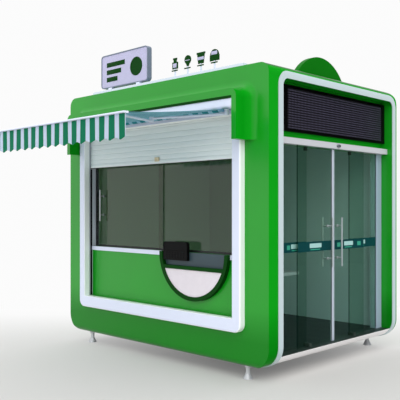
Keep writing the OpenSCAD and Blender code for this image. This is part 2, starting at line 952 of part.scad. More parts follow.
module forearm() {
    wrist_x = awning_w / 2 - wrist_side;
    wrist_y = bar_back_y + boss_d / 2 + seat_gap;
    wrist_z = bar_z + cloth_front_rise - cloth_t - seat_gap - elbow_ring_h;
    ring_z = elbow_z - seat_gap - elbow_ring_h;
    translate([elbow_x, -elbow_y, ring_z]) cylinder(h = elbow_ring_h, d = boss_d);
    translate([wrist_x, wrist_y, wrist_z]) cylinder(h = elbow_ring_h, d = boss_d);
    rod([elbow_x, -elbow_y, ring_z + elbow_ring_h / 2],
        [wrist_x, wrist_y, wrist_z + elbow_ring_h / 2], arm_d);
}

module awning_forearms() { color(white) placed() both_ends() forearm(); }

// Places of the pictograms along the rail
module each_picto() {
    for (place = [0:3])
        translate([rail_l / 2 - picto_inset - place * picto_pitch, 0, 0]) {
            $place = place;
            children();
        }
}

module sign_rail() {
    back = rail_setback + rail_d;
    post_half = sign_post_w / 2;
    stem_half = picto_stem_w / 2;
    color(white) placed() {
        block([-rail_l / 2, rail_setback, body_h], [rail_l / 2, back, rail_z]);
        for (share = [0.2, 0.8])
            translate([sign_x + share * sign_w, 0, 0])
                block([-post_half, rail_setback + sign_setback, rail_z],
                    [post_half, back, rail_z + sign_lift]);
        each_picto()
            block([-stem_half, rail_setback, rail_z],
                [stem_half, rail_setback + picto_t, rail_z + picto_lift]);
    }
}

module roof_sign() {
    face = rail_setback + sign_setback;
    color("#DAD6EA") placed() along_y(face, face + sign_d)
        translate([sign_x, rail_z + sign_lift]) {
            translate([0, sign_r]) square([sign_w, sign_h - 2 * sign_r]);
            translate([sign_r, 0]) square([sign_w - 2 * sign_r, sign_h]);
            for (x = [sign_r, sign_w - sign_r])
                for (z = [sign_r, sign_h - sign_r])
                    translate([x, z]) circle(sign_r);
        }
}

// Shape centred on x, as shares of the pictogram height
module share_box(width_share, low_share, high_share) {
    translate([-width_share * picto_h / 2, low_share * picto_h])
        square([width_share * picto_h, (high_share - low_share) * picto_h]);
}

module bottle_sign() {
    share_box(0.72, 0, 0.62);
    share_box(0.36, 0.62, 0.84);
    share_box(0.5, 0.84, 1);
}

module cup_sign() {
    foot_share = 0.32;
    brim_share = 0.44;
    lid_share = 0.84;
    polygon(picto_h * [[-foot_share, 0], [foot_share, 0], [brim_share, lid_share], [-brim_share, lid_share]]);
    share_box(1.02, lid_share, 1);
}

module cone_sign() {
    brim_share = 0.36;
    cone_share = 0.6;
    tip_share = 0.08;
    polygon(picto_h * [[-tip_share, 0], [tip_share, 0], [brim_share, cone_share], [-brim_share, cone_share]]);
    translate([0, cone_share * picto_h]) circle((1 - cone_share) * picto_h);
}

module loaf_sign() {
    crust_share = 0.5;
    share_box(1.1, 0, crust_share);
    translate([0, crust_share * picto_h]) circle(crust_share * picto_h);
}

module roof_pictograms() {
    color(deep_green) placed() each_picto()
        along_y(rail_setback, rail_setback + picto_t)
            translate([0, rail_z + picto_lift]) {
                if ($place == 0) loaf_sign();
                if ($place == 1) cup_sign();
                if ($place == 2) cone_sign();
                if ($place == 3) bottle_sign();
            }
}

module roof_disc() {
    front = half_l - disc_inset;
    color("#0B7A18") placed() intersection() {
        translate([front - disc_t, door_y, body_h + disc_rise - disc_r])
            rotate([0, 90, 0]) cylinder(h = disc_t, r = disc_r);
        block([front - disc_t, door_y - disc_r, body_h], [front, door_y + disc_r, body_h + disc_rise + over]);
    }
}

module levelling_foot() {
    cylinder(h = foot_rim_h, d = foot_plate_d);
    translate([0, 0, foot_rim_h]) cylinder(h = foot_bell_h - foot_rim_h, d1 = foot_plate_d, d2 = foot_stem_d);
    cylinder(h = foot_h - skirt_drop, d = foot_stem_d);
}

module levelling_feet() {
    color(steel) translate([0, front_y, 0])
        for (x = [-half_l + foot_inset_x, half_l - foot_inset_x])
            for (y = [foot_inset_y, body_w - foot_inset_y])
                translate([x, y, 0]) levelling_foot();
}

base_tray();
floor_deck();
roof();
back_wall();
left_end_wall();
front_posts();
rear_posts();
front_wall_left();
front_wall_right();
front_wall_top();
front_wall_base();
end_sills();
end_trim_front();
end_trim_rear();
end_trim_head();
end_wall_head();
led_display();
door_header();
door_sensor();
door_jambs();
side_lights();
glass_fittings();
door_leaf_near();
door_leaf_far();
leaf_edge_near();
leaf_edge_far();
door_handle_near();
door_handle_far();
frame_stiles();
frame_rails();
shutter_guides();
shutter_curtain();
apron_panel();
window_sill();
hatch_surround();
hatch_apron();
hatch_back();
card_terminal();
window_frame();
window_pane_left();
window_pane_right();
window_handle();
worktop();
hood_visor();
hood_cheeks();
awning_cassette();
awning_canopy();
awning_front_bar();
awning_valance();
awning_upper_arms();
awning_forearms();
sign_rail();
roof_sign();
roof_pictograms();
roof_disc();
levelling_feet();
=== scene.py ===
import json
import math
import bpy
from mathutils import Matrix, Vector


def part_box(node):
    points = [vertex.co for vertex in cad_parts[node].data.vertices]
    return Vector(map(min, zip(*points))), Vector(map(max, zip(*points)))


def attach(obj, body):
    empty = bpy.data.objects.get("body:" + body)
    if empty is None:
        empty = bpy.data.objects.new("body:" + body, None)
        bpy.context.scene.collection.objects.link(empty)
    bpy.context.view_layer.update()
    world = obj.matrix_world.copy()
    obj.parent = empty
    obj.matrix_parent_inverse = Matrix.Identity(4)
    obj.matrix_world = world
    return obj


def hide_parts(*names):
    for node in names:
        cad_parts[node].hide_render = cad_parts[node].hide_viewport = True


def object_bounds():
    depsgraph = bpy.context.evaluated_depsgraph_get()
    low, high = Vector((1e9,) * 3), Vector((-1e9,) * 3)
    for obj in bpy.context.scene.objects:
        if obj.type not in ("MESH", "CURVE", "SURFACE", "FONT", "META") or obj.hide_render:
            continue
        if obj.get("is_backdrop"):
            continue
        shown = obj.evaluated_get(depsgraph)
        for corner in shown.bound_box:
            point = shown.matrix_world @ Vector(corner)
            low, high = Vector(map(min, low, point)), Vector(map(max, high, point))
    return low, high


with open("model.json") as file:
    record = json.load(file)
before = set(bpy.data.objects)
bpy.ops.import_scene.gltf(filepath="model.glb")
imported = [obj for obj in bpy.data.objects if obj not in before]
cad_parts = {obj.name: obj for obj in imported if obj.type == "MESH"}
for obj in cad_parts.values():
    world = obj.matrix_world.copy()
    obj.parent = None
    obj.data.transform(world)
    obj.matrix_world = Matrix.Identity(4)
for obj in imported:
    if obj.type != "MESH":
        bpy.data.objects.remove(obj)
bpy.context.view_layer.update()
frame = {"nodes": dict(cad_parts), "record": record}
nodes = frame["nodes"]
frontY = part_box("front_wall_base")[0].y  # face of the serving front
floorRise = 0.080  # top of the floor deck above the datum
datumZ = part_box("floor_deck")[1].z - floorRise  # the height that the sizes below are read from
hair, tight, loose = 1e-5, 1e-4, 1e-3  # tolerances in metres
flush = 0.9  # from here on a normal counts as lying along an axis
alongX, alongY = (0, math.pi / 2, 0), (math.pi / 2, 0, 0)  # turns of a round piece's axis
print("frame loaded,", len(nodes), "nodes")


def at(x, t, z):
    # x along the front, t behind the front face, z above the datum, all in mm
    return Vector((x / 1000, frontY + t / 1000, datumZ + z / 1000))


def linear(hexText):
    # sRGB hex to scene linear
    parts = [int(hexText[i:i + 2], 16) / 255 for i in (1, 3, 5)]
    return tuple(c / 12.92 if c <= 0.04045 else ((c + 0.055) / 1.055) ** 2.4 for c in parts) + (1.0,)


def addNode(tree, kind, settings=None, links=None):
    # settings go to a socket by name or number, or to the node itself where it has no such socket
    node = tree.nodes.new(kind)
    for key, value in (settings or {}).items():
        if isinstance(key, str) and key not in node.inputs:
            setattr(node, key, value)
        else:
            node.inputs[key].default_value = value
    for key, source in (links or {}).items():
        tree.links.new(source, node.inputs[key])
    return node


def combine(tree, operation, *values):
    # one sum: each value is a number or the socket that it comes from
    numbers = {i: value for i, value in enumerate(values) if isinstance(value, (int, float))}
    sockets = {i: value for i, value in enumerate(values) if i not in numbers}
    return addNode(tree, "ShaderNodeMath", {"operation": operation, **numbers}, sockets).outputs[0]


def ranged(tree, source, fromSpan, toSpan=(0.0, 1.0), kind="LINEAR"):
    # a value carried from one span to another
    settings = {"interpolation_type": kind, "From Min": fromSpan[0], "From Max": fromSpan[1],
                "To Min": toSpan[0], "To Max": toSpan[1]}
    return addNode(tree, "ShaderNodeMapRange", settings, {"Value": source}).outputs[0]


def ownPlace(tree):
    # the point's place in its piece
    return addNode(tree, "ShaderNodeTexCoord").outputs["Object"]


def split(tree, source):
    # the three axes of a vector
    return addNode(tree, "ShaderNodeSeparateXYZ", None, {0: source}).outputs


def blend(tree, share, first, second):
    # one of two colours, each a value or the socket that it comes from
    colors = {6: first, 7: second}
    fixed = {key: value for key, value in colors.items() if isinstance(value, tuple)}
    sockets = {key: value for key, value in colors.items() if key not in fixed}
    return addNode(tree, "ShaderNodeMix", {"data_type": "RGBA", **fixed}, {0: share, **sockets}).outputs[2]


surface = {"coatRough": 0.12, "detail": 3.0, "tone": (0.93, 1.05)}


def finish(name, color, rough, grain, uneven=0.05, bump=0.0, metallic=0.0, coat=0.0, specular=0.5, stretch=(1, 1, 1)):
    # one coated or bare surface: grain is the size in mm of its unevenness, bump its height in mm
    mat = bpy.data.materials.new(name)
    mat.use_nodes = True
    mat.diffuse_color = linear(color)
    tree = mat.node_tree
    shader = tree.nodes["Principled BSDF"]
    plain = {"Base Color": linear(color), "Metallic": metallic, "Specular IOR Level": specular,
             "Coat Weight": coat, "Coat Roughness": surface["coatRough"]}
    for key, value in plain.items():
        shader.inputs[key].default_value = value
    place = addNode(tree, "ShaderNodeMapping", {"Scale": stretch}, {"Vector": ownPlace(tree)})
    noise = addNode(tree, "ShaderNodeTexNoise", {"Scale": 1000 / grain, "Detail": surface["detail"]},
                    {"Vector": place.outputs[0]}).outputs[0]
    tree.links.new(ranged(tree, noise, (0, 1), (rough - uneven, rough + uneven)), shader.inputs["Roughness"])
    tone = ranged(tree, noise, (0, 1), surface["tone"])
    shade = addNode(tree, "ShaderNodeHueSaturation", {"Color": linear(color)}, {"Value": tone})
    shade.label = "base tone"
    tree.links.new(shade.outputs[0], shader.inputs["Base Color"])
    if bump:
        wave = addNode(tree, "ShaderNodeBump", {"Strength": 1.0, "Distance": bump / 1000}, {"Height": noise})
        tree.links.new(wave.outputs[0], shader.inputs["Normal"])
    return mat


def paint(obj, *mats):
    obj.data.materials.clear()
    for mat in mats:
        obj.data.materials.append(mat)


def secondLook(obj, test):
    # the faces that take the second of two materials
    for face in obj.data.polygons:
        face.material_index = 1 if test(face) else 0


def mode(name):
    bpy.ops.object.mode_set(mode=name)


def deselect():
    if bpy.context.object and bpy.context.object.mode != "OBJECT":
        mode("OBJECT")
    bpy.ops.object.select_all(action="DESELECT")


def work(obj):
    # only this piece selected and active
    deselect()
    obj.select_set(True)
    bpy.context.view_layer.objects.active = obj
    return obj


def settle(obj):
    # a finished piece sits at the origin with its place in the mesh
    work(obj)
    bpy.ops.object.transform_apply(location=True, rotation=True, scale=True)
    return obj


def pick(obj, kind, test):
    # edit mode with only the wanted faces or edges selected
    work(obj)
    mode("EDIT")
    bpy.ops.mesh.select_mode(type=kind)
    bpy.ops.mesh.select_all(action="DESELECT")
    mode("OBJECT")
    points = obj.data.vertices
    for item in obj.data.polygons if kind == "FACE" else obj.data.edges:
        item.select = test(item) if kind == "FACE" else test(*(points[i].co for i in item.vertices))
    mode("EDIT")


def easeEdges(obj, test, offset, segments):
    # rounds the wanted edges
    pick(obj, "EDGE", test)
    bpy.ops.mesh.bevel(offset=offset, segments=segments, affect="EDGES")
    mode("OBJECT")


def setIn(obj, test, *steps):
    # insets the wanted faces by each thickness and depth in turn
    pick(obj, "FACE", test)
    for thickness, depth in steps:
        bpy.ops.mesh.inset(thickness=thickness, depth=depth)
    mode("OBJECT")


def closeUp(obj, angle=35):
    # doubles merged, faces outward, soft shading on the eased edges
    work(obj)
    mode("EDIT")
    bpy.ops.mesh.select_all(action="SELECT")
    bpy.ops.mesh.remove_doubles(threshold=hair)
    bpy.ops.mesh.normals_make_consistent(inside=False)
    mode("OBJECT")
    bpy.ops.object.shade_smooth_by_angle(angle=math.radians(angle))
    return obj


def boxPiece(name, low, high, ease=0.0, segments=2):
    # block between two corners with eased edges
    low, high = Vector(low), Vector(high)
    deselect()
    bpy.ops.mesh.primitive_cube_add(size=1, location=(low + high) / 2)
    obj = bpy.context.object
    obj.name = name
    obj.scale = high - low
    settle(obj)
    if ease:
        mode("EDIT")
        bpy.ops.mesh.select_all(action="SELECT")
        bpy.ops.mesh.bevel(offset=ease, segments=segments, affect="EDGES", clamp_overlap=True)
        mode("OBJECT")
        closeUp(obj)
    return obj


def barrel(name, place, radius, depth, turn, sides, scale=(1, 1, 1)):
    # round bar about its middle
    deselect()
    bpy.ops.mesh.primitive_cylinder_add(vertices=sides, radius=radius, depth=depth, rotation=turn, location=place)
    obj = bpy.context.object
    obj.name = name
    obj.scale = scale
    return settle(obj)


def turned(name, center, profile, sides=32):
    # round piece drawn up from a disc: profile is a row of (radius, height) in metres
    deselect()
    center = Vector(center)
    radius, height = profile[0]
    bpy.ops.mesh.primitive_circle_add(vertices=sides, radius=radius, fill_type="NGON",
                                      location=center + Vector((0, 0, height)))
    obj = bpy.context.object
    obj.name = name
    settle(obj)
    mode("EDIT")
    bpy.ops.mesh.select_all(action="SELECT")
    bpy.ops.mesh.select_mode(type="FACE")
    for before, after in zip(profile, profile[1:]):
        bpy.ops.mesh.extrude_region_move(TRANSFORM_OT_translate={"value": (0, 0, after[1] - before[1])})
        share = after[0] / before[0]
        bpy.ops.transform.resize(value=(share, share, 1), center_override=center + Vector((0, 0, after[1])))
    mode("OBJECT")
    return closeUp(obj, 40)


def copies(obj, moves):
    # the piece again at each step, every copy with its own mesh
    made = [obj]
    for move in moves:
        twin = obj.copy()
        twin.data = obj.data.copy()
        bpy.context.collection.objects.link(twin)
        twin.location = Vector(move)
        settle(twin)
        made.append(twin)
    return made


def joined(name, objs):
    work(objs[0])
    for obj in objs:
        obj.select_set(True)
    if len(objs) > 1:
        bpy.ops.object.join()
    objs[0].name = name
    objs[0].data.name = name
    return objs[0]


def dress(obj, slotName, *mats, body="cabin", instead=()):
    paint(obj, *mats)
    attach(obj, body)
    if instead:
        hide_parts(*instead)
    return obj


# gloss lacquer on steel sheet: deep green with a soft sky veil on the front, pale lining inside the cabin
greenLacquer = finish("green lacquer on steel", "#079514", 0.30, coat=0.15, grain=450, uneven=0.04, bump=0.10)
# pale lining colour, then the spans of the painted shade on the outer faces: darker near the ground and on the roof's
# end edges, less sheen on faces turned to either end
shell = {"lining": "#D4E3EC", "wall": 0.100, "reach": 0.002, "groundShade": (0.22, 0.52), "groundShadeTone": (0.66, 1.0),
         "groundShadeSheen": (0.22, 0.5), "endward": (0.15, 0.7), "endSheen": (1.0, 0.05),
         "roofEdgeShade": (2.758, 2.776), "roofShadeTone": (1.0, 0.40)}
workLow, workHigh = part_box("worktop")
insideLow = Vector((-workHigh.x, workLow.y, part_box("floor_deck")[1].z))
insideHigh = Vector((workHigh.x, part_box("back_wall")[1].y - shell["wall"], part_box("roof")[0].z))


def aboveDatum(heights):
    return [datumZ + height for height in heights]


def lineInside(mat):
    # inner faces of the walls carry a pale lining
    tree = mat.node_tree
    shader = tree.nodes["Principled BSDF"]
    axes = split(tree, ownPlace(tree))
    middle, half = (insideLow + insideHigh) / 2, (insideHigh - insideLow) / 2
    within = [combine(tree, "COMPARE", axes[i], middle[i], half[i] + shell["reach"]) for i in range(3)]
    inside = combine(tree, "MULTIPLY", combine(tree, "MULTIPLY", within[0], within[1]), within[2])
    # the outer ones are painted darker and less glossy towards the ground, painted shade; faces turned to either end
    # keep little of their sheen and coat, a reflection taken off by facing direction, and up at the roof they are
    # painted darker, painted shade on the roof's end edges
    groundShade = ranged(tree, axes[2], aboveDatum(shell["groundShade"]), shell["groundShadeTone"])
    normal = split(tree, addNode(tree, "ShaderNodeNewGeometry").outputs["Normal"])
    satin = ranged(tree, combine(tree, "ABSOLUTE", normal[0]), shell["endward"], shell["endSheen"])
    roofEdgeShade = ranged(tree, axes[2], aboveDatum(shell["roofEdgeShade"]), shell["roofShadeTone"])
    paintedShade = combine(tree, "MULTIPLY", groundShade, combine(tree, "MAXIMUM", roofEdgeShade, satin))
    outer = [node for node in tree.nodes if node.label == "base tone"][0]
    shadedTone = combine(tree, "MULTIPLY", paintedShade, outer.inputs["Value"].links[0].from_socket)
    tree.links.new(shadedTone, outer.inputs["Value"])
    sheen = ranged(tree, groundShade, shell["groundShadeTone"], shell["groundShadeSheen"])
    tree.links.new(combine(tree, "MULTIPLY", sheen, satin), shader.inputs["Specular IOR Level"])
    coat = shader.inputs["Coat Weight"]
    tree.links.new(combine(tree, "MULTIPLY", coat.default_value, satin), coat)
    tree.links.new(blend(tree, inside, outer.outputs[0], linear(shell["lining"])), shader.inputs["Base Color"])


lineInside(greenLacquer)
# the same lacquer in a bottle green on the hatch and the roof figures
bottleGreen = finish("bottle green lacquer", "#053F09", 0.50, grain=60, bump=0.02, specular=0.08)
# powder coats share a faint orange peel
peel = {"grain": 4, "uneven": 0.04, "bump": 0.02}
# white with a cool cast, the blue of white faces in shade painted in: painted shade
whitePowder = finish("white powder coat", "#DEE4F6", 0.40, **peel)
# the frame's returns and edges are painted brighter than its face: painted light
litSidePowder = finish("white powder coat, painted lit side", "#FBFFFD", 0.40, grain=4, uneven=0.02, bump=0.02)
# one white powder coat on the door end, toned to the light each part takes: grey white on the trim, cooler in the jambs
# and warmer on the header, painted shade; warm near white on the sills, painted light
endShadePowder = finish("door end white, painted shade", "#BCCCCE", 0.42, **peel)
jambShadePowder = finish("jamb white, deep painted shade", "#9DAFBF", 0.42, **peel)
headerShadePowder = finish("header white, painted shade", "#BEC0C4", 0.42, **peel)
edgePowder = finish("pale grey powder coat", "#BAC2CE", 0.42, **peel)
sillLitPowder = finish("sill white, painted light", "#F4F1F1", 0.42, **peel)
# satin anodised guides, streaked along their length
drawnAluminium = finish("satin anodised aluminium", "#C2C8D2", 0.45, metallic=0.1, grain=12, uneven=0.08,
                        stretch=(1, 1, 0.05))
# roll formed slats, matt lacquer
slatLacquer = finish("lacquered shutter slat", "#EAF2F2", 0.48, grain=30, bump=0.02, stretch=(0.05, 1, 1))
# the roof disc is a deeper green than the shell
discLacquer = finish("deep green lacquer", "#057009", 0.40, grain=200, uneven=0.04, bump=0.05, specular=0.05)
# black anodised window bars
blackAnodised = finish("black anodised aluminium", "#17191C", 0.40, grain=8, stretch=(0.1, 1, 1))
# fine texture of moulded ABS
blackMoulding = finish("black moulded plastic", "#0A0B0D", 0.50, grain=2, bump=0.03, specular=0.25)
# deep black of the terminal and the display's case, hardly any sheen
deepBlack = finish("black soft touch plastic", "#040405", 0.6, grain=2, bump=0.03, specular=0.15)
# brushed stainless bars, streaks along the bar
brushedSteel = finish("brushed stainless steel", "#B9BDC2", 0.28, metallic=1.0, grain=6, uneven=0.08,
                      stretch=(1, 1, 0.04))
# satin pull bars, pale along their length
satinSteel = finish("satin stainless steel", "#B4BEC0", 0.42, metallic=0.4, grain=6, uneven=0.08, stretch=(1, 1, 0.04))
# bright zinc on the feet, dulled
zincPlate = finish("zinc plated steel", "#C9CBCE", 0.48, metallic=0.45, grain=8, uneven=0.08)
# smoked fittings that hold the glass
smokedFitting = finish("smoked moulded plastic", "#39453F", 0.45, grain=2, bump=0.03)
# dull black paint under the floor
framePaint = finish("underframe paint", "#242628", 0.62, grain=20, bump=0.08)
# dark vinyl plank floor
vinylFloor = finish("dark vinyl planks", "#20262A", 0.42, grain=40, uneven=0.10, bump=0.04, stretch=(0.15, 1, 1))
# grey compact laminate behind the hatch, pale on the worktop
greyLaminate = finish("grey compact laminate", "#33464E", 0.45, grain=3, bump=0.01)
paleLaminate = finish("pale compact laminate", "#BDB6C4", 0.42, grain=3, bump=0.01)
# warm white enamel of the hatch face
warmWhite = finish("warm white enamel", "#E4DCE2", 0.36, grain=90, uneven=0.03, bump=0.02)
# opal acrylic with a lilac cast
opalAcrylic = finish("opal acrylic", "#BDB9D8", 0.24, grain=120, uneven=0.03, bump=0.02)
# slate lacquer round the sign
slateLacquer = finish("slate lacquer", "#727C8E", 0.35, grain=20, bump=0.02)

glass = {"waves": 2.5, "detail": 2.0, "uneven": (0.6, 1.4), "index": 1.52, "edge": "#0A2620", "alpha": 0.4}


def pane(name, tint, rough, edgeAxis):
    # flat glass: tinted straight-through light under a clear reflection, faintly uneven, with dark ground edges
    mat = bpy.data.materials.new(name)
    mat.use_nodes = True
    mat.diffuse_color = linear(tint)[:3] + (glass["alpha"],)
    tree = mat.node_tree
    tree.nodes.remove(tree.nodes["Principled BSDF"])
    noise = addNode(tree, "ShaderNodeTexNoise", {"Scale": glass["waves"], "Detail": glass["detail"]},
                    {"Vector": ownPlace(tree)})
    gloss = ranged(tree, noise.outputs[0], (0, 1), [rough * share for share in glass["uneven"]])
    through = addNode(tree, "ShaderNodeBsdfTransparent", {"Color": linear(tint)})
    mirror = addNode(tree, "ShaderNodeBsdfGlossy", {"Color": (1, 1, 1, 1)}, {"Roughness": gloss})
    fresnel = addNode(tree, "ShaderNodeFresnel", {"IOR": glass["index"]})
    side = addNode(tree, "ShaderNodeNewGeometry")
    outer = combine(tree, "SUBTRACT", 1.0, side.outputs["Backfacing"])
    share = combine(tree, "MULTIPLY", fresnel.outputs[0], outer)
    clear = addNode(tree, "ShaderNodeMixShader", None, {0: share, 1: through.outputs[0], 2: mirror.outputs[0]})
    across = combine(tree, "ABSOLUTE", split(tree, side.outputs["Normal"])[edgeAxis])
    seen = combine(tree, "MULTIPLY", combine(tree, "GREATER_THAN", across, flush), outer)
    ground = addNode(tree, "ShaderNodeBsdfDiffuse", {"Color": linear(glass["edge"])})
    whole = addNode(tree, "ShaderNodeMixShader", None, {0: seen, 1: clear.outputs[0], 2: ground.outputs[0]})
    tree.links.new(whole.outputs[0], tree.nodes["Material Output"].inputs["Surface"])
    return mat


doorGlass = pane("clear toughened glass", "#E9F4EE", 0.03, 1)
windowGlass = pane("green tinted glass", "#C3D0B6", 0.05, 0)

slotLooks = {
    "green_shell": greenLacquer, "dark_green": bottleGreen, "white_trim": whitePowder, "aluminium": drawnAluminium,
    "base_steel": framePaint, "floor_sheet": vinylFloor, "black_plastic": blackMoulding, "dark_frame": blackAnodised,
    "door_glass": doorGlass, "window_glass": windowGlass, "steel": brushedSteel, "awning_cloth": whitePowder,
    "grey_panel": greyLaminate, "sign_face": opalAcrylic,
}
# nodes that differ from their slot
nodeLooks = {
    "worktop": paleLaminate, "hatch_apron": warmWhite, "glass_fittings": smokedFitting, "door_jambs": jambShadePowder,
    "door_header": headerShadePowder, "end_sills": sillLitPowder, "roof_disc": discLacquer,
    "end_trim_front": endShadePowder, "end_trim_rear": endShadePowder, "end_trim_head": endShadePowder,
    "leaf_edge_near": edgePowder, "leaf_edge_far": edgePowder,
    "door_handle_near": satinSteel, "door_handle_far": satinSteel,
}
for part in frame["record"]["subparts"]:
    paint(nodes[part["node"]], nodeLooks.get(part["node"], slotLooks[part["material_slot"]]))
print("materials on the frame")

# awning cloth: one stretched sheet and a scalloped strip hung from the bar
awning = {"pitch": 0.13044, "greenShare": 0.58, "sag": 0.010, "middleSag": 0.3, "edgePower": 6, "seam": 0.003,
          "ripple": 0.0010, "rippleX": 9, "rippleV": 7, "thick": 0.001, "grid": (150, 36), "smooth": 60}
scallop = {"lobe": 0.024, "point": 0.16, "blunt": 0.85, "wave": 0.003, "waveLong": 2.7, "grid": (19 * 12, 8)}
weave = {"rough": 0.85, "grain": 3, "bump": 0.10, "specular": 0.15, "sheen": 0.1, "glow": 0.45, "lift": 50}


def striped(name, green, white):
    # woven acrylic canvas: matt, dyed stripes, daylight glows through it
    mat = finish(name, green, weave["rough"], grain=weave["grain"], bump=weave["bump"], specular=weave["specular"])
    tree = mat.node_tree
    shader = tree.nodes["Principled BSDF"]
    shader.inputs["Sheen Weight"].default_value = weave["sheen"]
    turn = combine(tree, "DIVIDE", split(tree, ownPlace(tree))[0], awning["pitch"])
    share = combine(tree, "FRACT", combine(tree, "ADD", turn, weave["lift"] + awning["greenShare"] / 2))
    stripe = blend(tree, combine(tree, "LESS_THAN", share, awning["greenShare"]), linear(white), linear(green))
    tree.links.new(stripe, shader.inputs["Base Color"])
    glow = addNode(tree, "ShaderNodeBsdfTranslucent", None, {"Color": stripe})
    cloth = addNode(tree, "ShaderNodeMixShader", {0: weave["glow"]}, {1: shader.outputs[0], 2: glow.outputs[0]})
    tree.links.new(cloth.outputs[0], tree.nodes["Material Output"].inputs["Surface"])
    return mat


canvas = striped("striped acrylic canvas", "#0D8B63", "#DEE8F8")
# the same canvas in painted shade, lighter teal with pale blue stripes, for its underside and the roll
canvasInShade = striped("shaded side of the canvas", "#37A3AF", "#B2E2F2")


def clothSheet(name, grid, shape):
    # grid laid out point by point, then given the thickness of canvas
    deselect()
    bpy.ops.mesh.primitive_grid_add(x_subdivisions=grid[0], y_subdivisions=grid[1], size=1)
    obj = bpy.context.object
    obj.name = name
    for vertex in obj.data.vertices:
        vertex.co = shape(vertex.co.x + 0.5, vertex.co.y + 0.5)
    solid = obj.modifiers.new("thickness", "SOLIDIFY")
    solid.thickness = awning["thick"]
    solid.offset = 0
    bpy.ops.object.modifier_apply(modifier=solid.name)
    return closeUp(obj, awning["smooth"])


canopyLow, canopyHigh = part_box("awning_canopy")
rootZ, endZ = canopyHigh.z - awning["seam"], canopyLow.z + awning["seam"]


def canopyPoint(u, v):
    # v runs from the front bar to the cassette, the free side edges sag most
    x = canopyLow.x + u * (canopyHigh.x - canopyLow.x)
    y = canopyLow.y + v * (canopyHigh.y - canopyLow.y)
    edge = abs(2 * u - 1) ** awning["edgePower"]
    drop = awning["sag"] * (awning["middleSag"] + (1 - awning["middleSag"]) * edge) * 4 * v * (1 - v)
    ripple = awning["ripple"] * math.sin(x * awning["rippleX"]) * math.sin(v * awning["rippleV"])
    return x, y, endZ + v * (rootZ - endZ) - drop + ripple


canopy = clothSheet("canopy_cloth", awning["grid"], canopyPoint)
dress(canopy, "awning_cloth", canvas, canvasInShade, instead=["awning_canopy"])
# underside faces take the canvas in painted shade
secondLook(canopy, lambda face: face.normal.z < 0)

valanceLow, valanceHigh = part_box("awning_valance")


def valancePoint(u, v):
    # one blunt point to each pair of stripes, just inside the green, with a slow wave at the free edge
    x = valanceLow.x + u * (valanceHigh.x - valanceLow.x)
    lobe = abs((x / awning["pitch"] + scallop["point"]) % 1 - 0.5) * 2
    low = valanceLow.z + scallop["lobe"] * (1 - lobe) ** scallop["blunt"]
    wave = scallop["wave"] * math.sin(2 * math.pi * x / (awning["pitch"] * scallop["waveLong"])) * (1 - v)
    return x, (valanceLow.y + valanceHigh.y) / 2 + wave, low + v * (valanceHigh.z - low)


valance = clothSheet("valance_cloth", scallop["grid"], valancePoint)
dress(valance, "awning_cloth", canvas, instead=["awning_valance"])

# rest of the cloth on its roller, seen under the cassette between the shoulders
cassetteLow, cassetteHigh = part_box("awning_cassette")
roll = {"radius": 0.030, "half": 1.128, "drop": 0.024, "in": 0.034, "sides": 48, "ring": (0.010, 0.0),
        "hollow": (0.001, -0.004)}
rollAt = (0, cassetteHigh.y - roll["in"], cassetteLow.z - roll["drop"] + roll["radius"])
clothRoll = barrel("cloth_roll", rollAt, roll["radius"], 2 * roll["half"], alongX, roll["sides"])
setIn(clothRoll, lambda face: abs(face.normal.x) > flush, roll["ring"], roll["hollow"])
# the roll takes the canvas in painted shade
dress(closeUp(clothRoll), "awning_cloth", canvasInShade)

# dark green strip under the hood's lip that stands for the shadow line there: painted shade
lipShade = {"half": 1272, "front": -198.5, "back": -193, "low": 2471, "high": 2496, "ease": 0.001}
lipShadeStrip = boxPiece("hood_lip_shade", at(-lipShade["half"], lipShade["front"], lipShade["low"]),
                    at(lipShade["half"], lipShade["back"], lipShade["high"]), lipShade["ease"])
dress(lipShadeStrip, "dark_green", bottleGreen)
print("awning cloth hung")

# shutter: roll formed slats over a thin core, bottom bar and seal
shutter = {"slat": 0.0579, "thick": 0.014, "gap": 0.004, "ease": 0.0065, "easeSteps": 4,
           "core": 0.003, "coreDrop": 0.004, "coreEase": 0.001,
           "bar": 0.044, "barIn": 0.040, "barLift": 0.006, "barEase": 0.005, "barSteps": 3,
           "sealIn": 0.042, "sealHalf": 0.009, "sealTall": 0.008, "sealEase": 0.002}
curtainLow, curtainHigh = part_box("shutter_curtain")
barTop = curtainLow.z + shutter["bar"]
slatY = (curtainLow.y + curtainHigh.y) / 2
rows = round((curtainHigh.z - barTop) / shutter["slat"])
pitch = (curtainHigh.z - barTop) / rows
slat = boxPiece("slat", (curtainLow.x, slatY - shutter["thick"] / 2, barTop + shutter["gap"] / 2),
                (curtainHigh.x, slatY + shutter["thick"] / 2, barTop + pitch - shutter["gap"] / 2),
                shutter["ease"], shutter["easeSteps"])
core = boxPiece("core", (curtainLow.x, slatY - shutter["core"], barTop - shutter["coreDrop"]),
                (curtainHigh.x, slatY + shutter["core"], curtainHigh.z), shutter["coreEase"])
slats = copies(slat, [(0, 0, pitch * step) for step in range(1, rows)])
bottomBar = boxPiece("bar", (curtainLow.x + shutter["barIn"], curtainLow.y, curtainLow.z + shutter["barLift"]),
                     (curtainHigh.x - shutter["barIn"], curtainHigh.y, barTop),
                     shutter["barEase"], shutter["barSteps"])
curtain = joined("shutter_slats", slats + [core, bottomBar])
dress(curtain, "aluminium", slatLacquer, instead=["shutter_curtain"])
seal = boxPiece("shutter_seal", (curtainLow.x + shutter["sealIn"], slatY - shutter["sealHalf"], curtainLow.z),
                (curtainHigh.x - shutter["sealIn"], slatY + shutter["sealHalf"], curtainLow.z + shutter["sealTall"]),
                shutter["sealEase"])
dress(seal, "black_plastic", blackMoulding)

